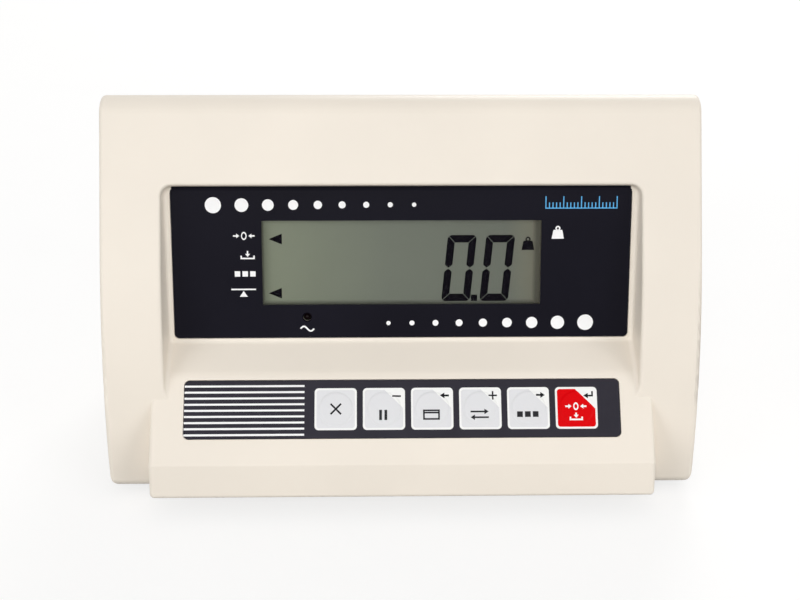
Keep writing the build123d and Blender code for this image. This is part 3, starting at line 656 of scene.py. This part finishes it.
matt = {"scale": 300.0, "specular": 0.2}
inks = {
    "white": makeFinish("whiteInk", paint(250, 250, 250), wear=0.02, **matt),
    "sky": makeFinish("skyInk", paint(96, 182, 240), wear=0.05, **matt),
    "black": makeFinish("blackInk", paint(26, 26, 30), wear=0.1, **matt),
    "segment": makeFinish("lcdSegment", paint(9, 6, 14), 0.6, wear=0.1, scale=300.0, specular=0.02),
}


# A dark strip over the corner's curve and the wall at the top of the bay: partly the panel sheet's top
# edge turned up into the corner, partly painted shade under the lip

edgeAndShadeFacts = {
    "footT": 61.4,
    "middleT": 62.86,     # centre of the corner's curve, mm
    "middleOut": 2.0,
    "radius": 1.95,
    "turn": 76.5,         # degrees of curve before the wall
    "steps": 12,
    "wallOut": 2.6,
    "wallSlope": 0.24,
    "wallSteps": 2,
    "thickness": 0.03,
    "halfWidth": 96.7,
    "corner": 1.8,
}


def panelEdgeAndShade(facts):
    line = [(facts["footT"], facts["middleOut"] - facts["radius"])]
    for n in range(facts["steps"] + 1):
        turn = math.radians(facts["turn"]) * n / facts["steps"]
        t = facts["middleT"] + facts["radius"] * math.sin(turn)
        line.append((t, facts["middleOut"] - facts["radius"] * math.cos(turn)))
    t, out = line[-1]
    for n in range(facts["wallSteps"]):
        rise = (facts["wallOut"] - out) * (n + 1) / facts["wallSteps"]
        line.append((t + rise * facts["wallSlope"], out + rise))
    top = line[-1][0]
    points = []
    for t, out in line:
        short = max(facts["corner"] - (top - t), 0.0)
        inset = facts["corner"] - math.sqrt(facts["corner"] ** 2 - short ** 2)
        half = facts["halfWidth"] - inset
        for lift in (0.0, facts["thickness"]):
            points += [(-half, t - lift, out + lift), (half, t - lift, out + lift)]
    # each place on the line has four corners: back left, back right, front left, front right
    faces = [(0, 2, 3, 1)]
    for a in range(0, len(points) - 4, 4):
        b = a + 4
        faces += [(a, a + 1, b + 1, b), (a + 2, b + 2, b + 3, a + 3)]
        faces += [(a, b, b + 2, a + 2), (a + 1, a + 3, b + 3, b + 1)]
    last = len(points) - 4
    faces.append((last, last + 1, last + 3, last + 2))
    mesh = bpy.data.meshes.new("panelEdgeAndShade")
    mesh.from_pydata([(x * mm, t * mm, out * mm) for x, t, out in points], [], faces)
    mesh.transform(panel.matrix())
    piece = bpy.data.objects.new("panelEdgeAndShade", mesh)
    bpy.context.collection.objects.link(piece)
    mesh.materials.append(finishes["label_print"])
    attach(piece, "housing")


panelEdgeAndShade(edgeAndShadeFacts)


# Marks on the display panel. Each row of dots shrinks and closes up towards the middle.

onPanel = panel.matrix(out=inkFacts["lift"])

dotFacts = {
    "count": 9,
    "firstX": 79.0,
    "lowShift": 0.5,      # the lower row starts this much nearer the middle
    "radius": 3.38,
    "shrink": 0.85,
    "pitch": 10.0,
    "extraPitch": 1.9,
    "extraShrink": 0.55,
    "topT": 56.9,
    "lowT": 6.2,
}


def dotShapes(facts):
    shapes = []
    x = facts["firstX"]
    for n in range(facts["count"]):
        radius = facts["radius"] * facts["shrink"] ** n
        shapes.append([circle(-x, facts["topT"], radius)])
        shapes.append([circle(x - facts["lowShift"], facts["lowT"], radius)])
        x -= facts["pitch"] + facts["extraPitch"] * facts["extraShrink"] ** n
    return shapes


printOn("panelDots", dotShapes(dotFacts), onPanel, inks["white"], "housing")


# Signs. Each is drawn round its own middle x, y.

zeroFacts = {"narrow": 0.66, "gap": 0.75, "arrow": 2.6, "head": 1.3, "headHalf": 1.0, "count": 32}


# A nought between two arrows
def zeroShapes(x, y, tall, stroke):
    facts = zeroFacts
    half, narrow = tall / 2, facts["narrow"]
    ring = []
    for radius in (half, half - stroke):
        rim = circle(0, 0, radius, facts["count"])
        ring.append([(x + px * narrow, y + py) for px, py in rim])
    near = half * narrow + facts["gap"]
    far = near + facts["arrow"]
    left = arrow(x - far, x - near, y, stroke, facts["head"], facts["headHalf"])
    right = arrow(x + far, x + near, y, stroke, facts["head"], facts["headHalf"])
    return [ring, [left], [right]]


tareFacts = {"wide": 6.0, "lip": 1.5, "gap": 0.35, "head": 1.3, "headHalf": 1.05}


# A load that comes down on a pan
def tareShapes(x, y, tall, stroke, wide=tareFacts["wide"]):
    facts = tareFacts
    top, foot = y + tall / 2, y - tall / 2
    floor, lip = foot + stroke, foot + facts["lip"]
    left, right = x - wide / 2, x + wide / 2
    load = arrow(top, floor + facts["gap"], x, stroke, facts["head"], facts["headHalf"])
    pan = [
        (left, foot), (right, foot), (right, lip), (right - stroke, lip),
        (right - stroke, floor), (left + stroke, floor), (left + stroke, lip), (left, lip),
    ]
    return [[swapped(load)], [pan]]


def pieceShapes(x, y, side, gap, count=3):
    first = x - (count * side + (count - 1) * gap) / 2
    shapes = []
    for n in range(count):
        left = first + n * (side + gap)
        shapes.append([rectangle(left, y - side / 2, left + side, y + side / 2)])
    return shapes


steadyFacts = {"edgeHalf": 1.7, "gap": 0.35}


# A beam at rest on its knife edge
def steadyShapes(x, y, tall, stroke, wide):
    top, foot = y + tall / 2, y - tall / 2
    beam = rectangle(x - wide / 2, top - stroke, x + wide / 2, top)
    half = steadyFacts["edgeHalf"]
    edge = [(x - half, foot), (x + half, foot), (x, top - stroke - steadyFacts["gap"])]
    return [[beam], [edge]]


# shares of the width, then of the height
weightFacts = {"shoulder": 0.36, "body": 0.2, "ringUp": 0.32, "ring": 0.2, "hole": 0.09, "count": 24}


# A weight with a ring on top
def weightShapes(x, y, wide, tall):
    facts = weightFacts
    foot, head = wide / 2, wide * facts["shoulder"]
    low, high = y - tall / 2, y + tall * facts["body"]
    body = [(x - foot, low), (x + foot, low), (x + head, high), (x - head, high)]
    middle = y + tall * facts["ringUp"]
    ring = circle(x, middle, tall * facts["ring"], facts["count"])
    hole = circle(x, middle, tall * facts["hole"], facts["count"])
    return [[body], [ring, hole]]


def waveShapes(x, y, wide, tall, stroke, steps=28):
    over, under = [], []
    for n in range(steps + 1):
        turn = 2 * math.pi * n / steps
        slope = tall / 2 * math.cos(turn) * 2 * math.pi / wide
        length = math.hypot(1, slope)
        px, py = x - wide / 2 + wide * n / steps, y + tall / 2 * math.sin(turn)
        asideX, asideY = -slope / length * stroke / 2, stroke / length / 2
        over.append((px + asideX, py + asideY))
        under.insert(0, (px - asideX, py - asideY))
    return [[over + under]]


rowFacts = {
    "tall": 3.5,
    "stroke": 0.62,
    "zero": (-66.4, 43.9),
    "tare": (-65.0, 35.75),
    "pieces": (-66.2, 27.7),
    "steady": (-67.0, 19.6),
    "pieceSide": 2.3,
    "pieceGap": 0.95,
    "beam": 10.4,
}


def rowShapes(facts):
    tall, stroke = facts["tall"], facts["stroke"]
    shapes = zeroShapes(*facts["zero"], tall, stroke)
    shapes += tareShapes(*facts["tare"], tall, stroke)
    shapes += pieceShapes(*facts["pieces"], facts["pieceSide"], facts["pieceGap"])
    shapes += steadyShapes(*facts["steady"], tall, stroke, facts["beam"])
    return shapes


unitFacts = {"x": 65.9, "y": 45.0, "wide": 5.2, "tall": 5.4}
waveFacts = {"x": -40.3, "y": 3.9, "wide": 5.8, "tall": 2.0, "stroke": 0.7}
# painted shade round the lamp hole: a black ring across the hole's rim
lampHoleShadeFacts = {"x": -40.3, "y": 8.9, "inner": 1.7, "outer": 2.05}
rulerFacts = {
    "x": 60.6,
    "t": 55.1,
    "count": 21,
    "group": 5,           # a long line every so many
    "pitch": 1.5,
    "width": 0.42,
    "short": 2.6,
    "long": 5.2,
}


def ringShapes(facts):
    x, y = facts["x"], facts["y"]
    return [[circle(x, y, facts["outer"]), circle(x, y, facts["inner"])]]


def rulerShapes(facts):
    width, low = facts["width"], facts["t"]
    first = facts["x"] - width / 2
    shapes = []
    for n in range(facts["count"]):
        tall = facts["short"] if n % facts["group"] else facts["long"]
        left = first + n * facts["pitch"]
        shapes.append([rectangle(left, low + width, left + width, low + tall)])
    shapes.append([rectangle(first, low, left + width, low + width)])
    return shapes


printOn("panelRows", rowShapes(rowFacts), onPanel, inks["white"], "housing")
printOn("panelUnit", weightShapes(**unitFacts), onPanel, inks["white"], "housing")
printOn("panelMainsMark", waveShapes(**waveFacts), onPanel, inks["white"], "housing")
# the black ring is painted shade at the rim of the lamp hole
printOn("panelLampHoleShade", ringShapes(lampHoleShadeFacts), onPanel, inks["segment"], "housing")
printOn("panelRuler", rulerShapes(rulerFacts), onPanel, inks["sky"], "housing")
print("panel marks printed")


# What the display shows, on the front of its glass

digitFacts = {
    "lefts": [16.9, 33.2],      # left foot of each digit, mm
    "foot": 15.1,
    "wide": 12.3,
    "tall": 28.5,
    "stroke": 3.2,
    "gap": 0.2,
    "slant": 0.097,
    "round": 1.5,
    "chamfer": 0.3,             # of the round, where its slope is broken
    "waist": 0.45,              # of the stroke, where a side bar starts to narrow
    "pointLeft": 29.6,
    "pointSide": 2.75,
    "unit": {"x": 53.7, "y": 39.9, "wide": 5.4, "tall": 5.6},
    "pointers": [(-56.3, 42.1), (-56.7, 18.8)],
    "pointerWide": 5.6,
    "pointerTall": 4.6,
}


# The top bar and the upper left bar of a digit; the others are their mirror images
def segments(facts):
    wide, tall, s, g = facts["wide"], facts["tall"], facts["stroke"], facts["gap"] / 2
    r = facts["round"]
    c = r * facts["chamfer"]
    waist = tall / 2 + s * facts["waist"] + g
    top = [
        (r + g, tall), (wide - r - g, tall), (wide - c - g, tall - c),
        (wide - s - g, tall - s), (s + g, tall - s), (c + g, tall - c),
    ]
    side = [
        (0, tall - r - g), (c, tall - c - 2 * g), (s, tall - s - 2 * g),
        (s, waist), (s / 2, tall / 2 + g * 2), (0, waist),
    ]
    bars = []
    for flip in (False, True):
        bars.append([(x, tall - y if flip else y) for x, y in top])
        for across in (False, True):
            bars.append([(wide - x if across else x, tall - y if flip else y) for x, y in side])
    return bars


def displayShapes(facts):
    foot = facts["foot"]
    shapes = []
    for left in facts["lefts"]:
        for bar in segments(facts):
            shapes.append([[(left + x + y * facts["slant"], foot + y) for x, y in bar]])
    left, side = facts["pointLeft"], facts["pointSide"]
    shapes.append([rectangle(left, foot, left + side, foot + side)])
    shapes += weightShapes(**facts["unit"])
    for x, t in facts["pointers"]:
        back, half = x + facts["pointerWide"], facts["pointerTall"] / 2
        shapes.append([[(x, t), (back, t - half), (back, t + half)]])
    return shapes


# places on the glass are measured from the panel's foot, straight behind it
glassT = (panel.foot - glass.foot).dot(panel.up) / mm
onGlass = glass.matrix(t=glassT, out=inkFacts["lift"])
printOn("displayReading", displayShapes(digitFacts), onGlass, inks["segment"], "housing")
print("display reads zero")


# Keypad: stripes on the ground, and a sign on each key

keypadT = keypad.height / 2 / mm

stripeFacts = {
    "count": 9,
    "left": -91.25,
    "right": -41.1,
    "lowY": -10.65,
    "pitch": 2.56,
    "width": 0.85,
}


def stripeShapes(facts):
    half = facts["width"] / 2
    shapes = []
    for n in range(facts["count"]):
        y = facts["lowY"] + n * facts["pitch"]
        shapes.append([rectangle(facts["left"], y - half, facts["right"], y + half)])
    return shapes


def crossShapes(x, y, reach, stroke):
    h = stroke / 2
    arm = [(-h, -h), (-h, -reach), (h, -reach)]
    plus = []
    for n in range(4):
        plus += arm
        arm = [(-py, px) for px, py in arm]
    turn = math.sqrt(0.5)
    return [[[(x + (px - py) * turn, y + (px + py) * turn) for px, py in plus]]]


def holdShapes(x, y, tall, stroke, apart):
    bars = []
    for side in (-apart / 2, apart / 2):
        left = x + side - stroke / 2
        bars.append([rectangle(left, y - tall / 2, left + stroke, y + tall / 2)])
    return bars


# A pack with a lid, which starts a little above its middle
def packShapes(x, y, wide, tall, stroke, lid=0.12):
    left, right = x - wide / 2, x + wide / 2
    foot, top = y - tall / 2, y + tall / 2
    seam = y + tall * lid
    outer = rectangle(left, foot, right, top)
    low = rectangle(left + stroke, foot + stroke, right - stroke, seam)
    high = rectangle(left + stroke, seam + stroke, right - stroke, top - stroke)
    return [[outer, low, high]]


def swapShapes(x, y, wide, stroke, apart, head, headHalf):
    left, right = x - wide / 2, x + wide / 2
    over = arrow(left, right, y + apart / 2, stroke, head, headHalf)
    under = arrow(right, left, y - apart / 2, stroke, head, headHalf)
    return [[over], [under]]


keyFacts = {
    "crown": 0.35,        # the key's face stands this far above the overlay
    "y": -2.6,
    "webInner": 6.7,      # the printed film that spans the gap round a key
    "webOuter": 8.15,
    "webCount": 72,
    "webOut": 0.025,
}

signY = keyFacts["y"]
keySigns = {
    "key_clear": crossShapes(0, 0, reach=3.1, stroke=0.75),
    "key_minus": holdShapes(-0.4, signY, tall=4.3, stroke=1.15, apart=2.2),
    "key_left": packShapes(-0.4, signY, wide=7.0, tall=4.3, stroke=0.7),
    "key_plus": swapShapes(-0.4, signY, wide=7.6, stroke=0.7, apart=2.4, head=1.8, headHalf=1.15),
    "key_right": pieceShapes(-0.4, signY, side=2.4, gap=0.9),
    "key_enter": zeroShapes(-0.3, 0.6, tall=3.3, stroke=0.68)
    + tareShapes(-0.3, -3.7, tall=3.2, stroke=0.68, wide=5.6),
}


def printKey(key, shapes, facts):
    red = key == "key_enter"
    low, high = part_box(key)
    middle = (low.x + high.x) / 2 / mm
    matrix = keypad.matrix(x=middle, t=keypadT, out=facts["crown"] + inkFacts["lift"])
    ink = inks["white"] if red else inks["black"]
    printOn(key + "_sign", shapes, matrix, ink, key)
    rims = [circle(middle, 0, facts[rim], facts["webCount"]) for rim in ("webOuter", "webInner")]
    matrix = keypad.matrix(t=keypadT, out=facts["webOut"])
    film = finishes["keypad_print"]
    printOn(key + "_film", [rims], matrix, film, "housing")


onKeypad = keypad.matrix(t=keypadT, out=inkFacts["lift"])
stripes = stripeShapes(stripeFacts)
printOn("keypadStripes", stripes, onKeypad, inks["white"], "housing")
for key, shapes in keySigns.items():
    printKey(key, shapes, keyFacts)
print("keypad printed")


# Stage: a pale floor that runs out of sight

stageFacts = {
    "size": 16.0,
    "seen": paint(244, 243, 241),
    "bounce": paint(120, 118, 114),
    "speckleScale": 30.0,
    "speckle": 0.985,
    "glow": 0.62,         # share of plain white that the camera sees on it
    "level": 1.12,
}


def makeStage(facts):
    mesh = bpy.data.meshes.new("floor")
    half = facts["size"] / 2
    corners = [(x, y, 0.0) for x, y in rectangle(-half, -half, half, half)]
    mesh.from_pydata(corners, [], [(0, 1, 2, 3)])
    floor = bpy.data.objects.new("floor", mesh)
    bpy.context.collection.objects.link(floor)
    recipe = Recipe("floorPaint")
    seen = recipe.seen()
    speckle = recipe.span(recipe.noise(facts["speckleScale"]), 0.3, 0.7)
    pale = recipe.mix(speckle, shade(facts["seen"], facts["speckle"]), facts["seen"])
    tone = recipe.mix(seen, facts["bounce"], pale)
    matt = recipe.add("ShaderNodeBsdfDiffuse", None, {"Color": tone})
    glow = {"Color": plainWhite, "Strength": facts["level"]}
    white = recipe.add("ShaderNodeEmission", None, glow)
    share = seen * facts["glow"]
    recipe.show(recipe.add("ShaderNodeMixShader", None, {0: share, 1: matt, 2: white}))
    floor.data.materials.append(recipe.made)


makeStage(stageFacts)


worldFacts = {"light": 0.45, "seen": 1.0}

lampFacts = {
    "front": {"place": (-0.1, -1.5, 1.0), "size": 1.0, "power": 7.9},
    "left": {"place": (-1.25, -1.0, 0.35), "size": 1.1, "power": 9.8},
    "right": {"place": (1.3, -0.95, 0.35), "size": 1.1, "power": 9.8},
    "rear": {"place": (0.4, 1.5, 1.0), "size": 1.0, "power": 13.0},
}


def makeWorld(facts):
    world = Recipe("studio", "worlds")
    level = world.span(world.seen(), 0.0, 1.0, facts["light"], facts["seen"])
    sky = {"Color": plainWhite, "Strength": level}
    world.show(world.add("ShaderNodeBackground", None, sky))
    bpy.context.scene.world = world.made


def makeLamp(name, place, size, power, aim=(0.0, 0.0, 0.07)):
    data = bpy.data.lights.new(name + "Lamp", "AREA")
    data.shape = "DISK"
    data.size = size
    data.energy = power
    lamp = bpy.data.objects.new(name + "Lamp", data)
    bpy.context.collection.objects.link(lamp)
    lamp.location = place
    lamp.rotation_euler = (Vector(aim) - lamp.location).to_track_quat("-Z", "Y").to_euler()


makeWorld(worldFacts)
for name, facts in lampFacts.items():
    makeLamp(name, **facts)
bpy.context.scene.view_settings.view_transform = "Standard"
print("stage and lights set")
